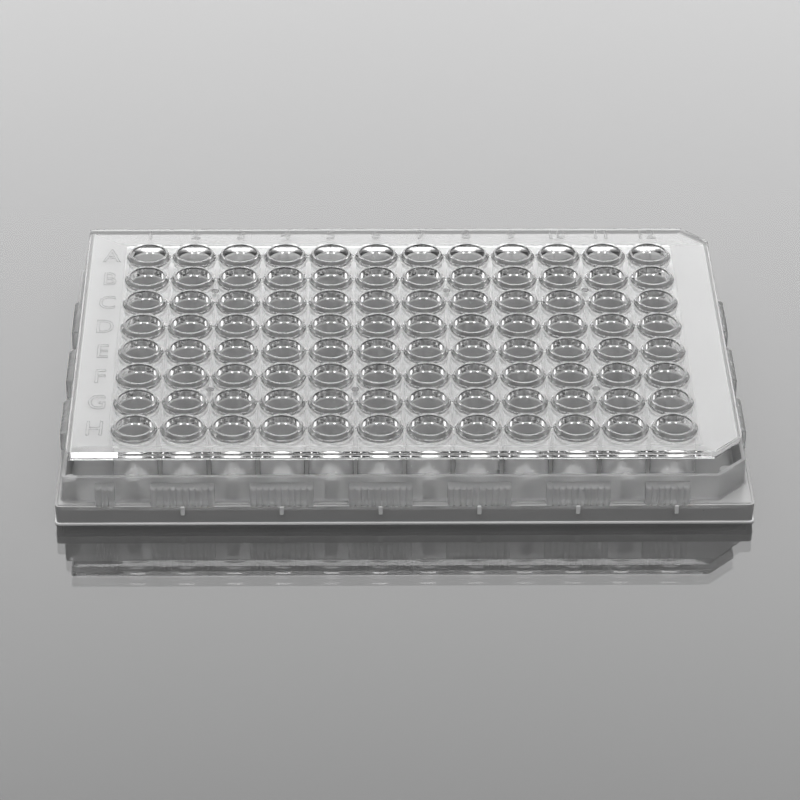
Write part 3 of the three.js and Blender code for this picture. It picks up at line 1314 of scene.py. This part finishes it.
@dataclass(frozen=True)
class Studio:
    """The floor, the light wall round it, the lamp, the world and the camera, with sizes in metres."""

    # The floor: a glossy sheet, whose front takes a share of the light and lets the rest on to its back.
    floor_reach: float = 6.0
    floor_shade: float = 0.06
    floor_roughness: float = 0.004
    floor_ior: float = 2.15
    floor_share: float = 0.6
    floor_back_ior: float = 3.2
    floor_thickness: float = 0.00121

    # The light wall: its levels, and where they begin and are full, from -1 in front to 1 behind.
    wall_radius: float = 1.6
    wall_height: float = 1.7
    wall_steps: int = 72
    back_level: float = 2.55
    side_level: float = 0.7
    front_level: float = 0.5
    back_range: Point2 = (0.91, 0.95)
    side_range: Point2 = (-0.45, -0.15)
    # How bright the back is at its foot, as a share of its level, and how much less with each millimetre.
    back_foot: float = 1.99
    back_fade: float = 0.00098

    lamp_size: Point2 = (2.6, 2.2)
    lamp_place: Point3 = (0.0, 0.1, 1.6)
    lamp_power: float = 62.0
    world_level: float = 0.35

    # The camera, its angles in degrees and its lens and sensor in millimetres.
    azimuth: float = -1.214
    elevation: float = 32.358
    roll: float = 0.498
    distance: float = 0.6596
    target: Point3 = (-0.00071, -0.02212, 0.0139)
    lens: float = 160.1
    sensor_width: float = 36.0
    clip: Point2 = (0.05, 20.0)

    def floor(self) -> None:
        """Add the glossy floor: a sheet that also gives a fainter reflection from its back."""
        reach = self.floor_reach
        square = Edges(-reach, reach, -reach, reach).corners()
        layers = (
            ("floor", 0.0, self.floor_share, self.floor_ior),
            ("floor_back", -self.floor_thickness, 1.0, self.floor_back_ior),
        )
        for name, height, share, ior in layers:
            mesh = bpy.data.meshes.new(name)
            mesh.from_pydata([(x, y, height) for x, y in square], [], [(0, 1, 2, 3)])
            sheet = NodeSheet("studio_" + name)
            shader = sheet.add("ShaderNodeBsdfPrincipled", {}, {
                "Base Color": grey(self.floor_shade), "Roughness": self.floor_roughness, "IOR": ior})
            through = sheet.add("ShaderNodeBsdfTransparent")
            mixed = sheet.add("ShaderNodeMixShader", {}, {0: share, 1: through, 2: shader})
            mesh.materials.append(sheet.finish(mixed))
            add_object(name, mesh)

    def _wall_shader(self) -> bpy.types.Material:
        """Make the light wall's material.

        Returns:
            A light that is bright behind the object, softer at its sides and dim in front.
        """
        sheet = NodeSheet("studio_wall")
        position = sheet.position()
        depth = position[Axis.Y] / (self.wall_radius / MM)
        strength = self.front_level + depth.step(*self.side_range) * (self.side_level - self.front_level)
        back = position[Axis.Z] * (-self.back_fade) + self.back_foot
        strength = strength + depth.step(*self.back_range) * (back * self.back_level - self.side_level)
        return sheet.finish(sheet.add("ShaderNodeEmission", {}, {"Color": grey(1.0), "Strength": strength}))

    def wall(self) -> None:
        """Add the round light wall."""
        vertices = []
        for x, y in circle((0.0, 0.0), self.wall_radius, self.wall_steps):
            vertices += [(x, y, 0.0), (x, y, self.wall_height)]
        faces = []
        for step in range(self.wall_steps):
            following = (step + 1) % self.wall_steps
            faces.append((2 * step, 2 * following, 2 * following + 1, 2 * step + 1))
        mesh = bpy.data.meshes.new("light_wall")
        mesh.from_pydata(vertices, [], faces)
        mesh.materials.append(self._wall_shader())
        add_object("light_wall", mesh)

    def lights(self) -> None:
        """Add the soft overhead lamp and the world's even light."""
        lamp = bpy.data.lights.new("top_light", "AREA")
        lamp.shape = "RECTANGLE"
        lamp.size, lamp.size_y = self.lamp_size
        lamp.energy = self.lamp_power
        add_object("top_light", lamp).location = self.lamp_place
        world = bpy.data.worlds.new("studio")
        world.use_nodes = True
        background = world.node_tree.nodes["Background"]
        background.inputs["Color"].default_value = grey(1.0)
        background.inputs["Strength"].default_value = self.world_level
        bpy.context.scene.world = world

    def camera(self) -> None:
        """Add the camera, above the front of the plate and very slightly to its left."""
        azimuth, elevation, roll = (
            math.radians(angle) for angle in (self.azimuth, self.elevation, self.roll))
        back = Vector((math.sin(azimuth) * math.cos(elevation), -math.cos(azimuth) * math.cos(elevation),
                       math.sin(elevation)))
        right = Vector((math.cos(azimuth), math.sin(azimuth), 0.0))
        up = back.cross(right)
        rolled_right = right * math.cos(roll) + up * math.sin(roll)
        rolled_up = up * math.cos(roll) - right * math.sin(roll)
        turn = Matrix((rolled_right, rolled_up, back)).transposed().to_4x4()
        data = bpy.data.cameras.new("camera")
        data.lens = self.lens
        data.sensor_width = self.sensor_width
        data.clip_start, data.clip_end = self.clip
        holder = add_object("camera", data)
        holder.matrix_world = Matrix.Translation(Vector(self.target) + back * self.distance) @ turn
        bpy.context.scene.camera = holder

    def build(self) -> None:
        """Set the whole stage."""
        self.floor()
        self.wall()
        self.lights()
        self.camera()
        bpy.context.scene.view_settings.view_transform = "Standard"


# ---------------------------------------------------------------- assembly


def set_on_frame(piece: bpy.types.Object, node: str | None = None) -> None:
    """Set a piece on the frame and report it.

    Args:
        piece: The dressed object.
        node: The CAD node it stands for, if any.
    """
    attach(piece, "root")
    if node is not None:
        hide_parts(node)
    triangles = sum(len(face.vertices) - 2 for face in piece.data.polygons)
    LOG.info("%s: %d triangles", piece.name, triangles)


def main() -> None:
    """Build the scene."""
    logging.basicConfig(level=logging.INFO, format="%(name)s: %(message)s")
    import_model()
    plate = ClearPlate()
    set_on_frame(plate.build(), "well_plate")
    marks = DeckMarks(plate.grid, plate.deck_top)
    set_on_frame(marks.words())
    set_on_frame(marks.details())
    set_on_frame(FrostedBase(plate.grid).build(), "skirted_base")
    Studio().build()


if __name__ == "__main__":
    main()
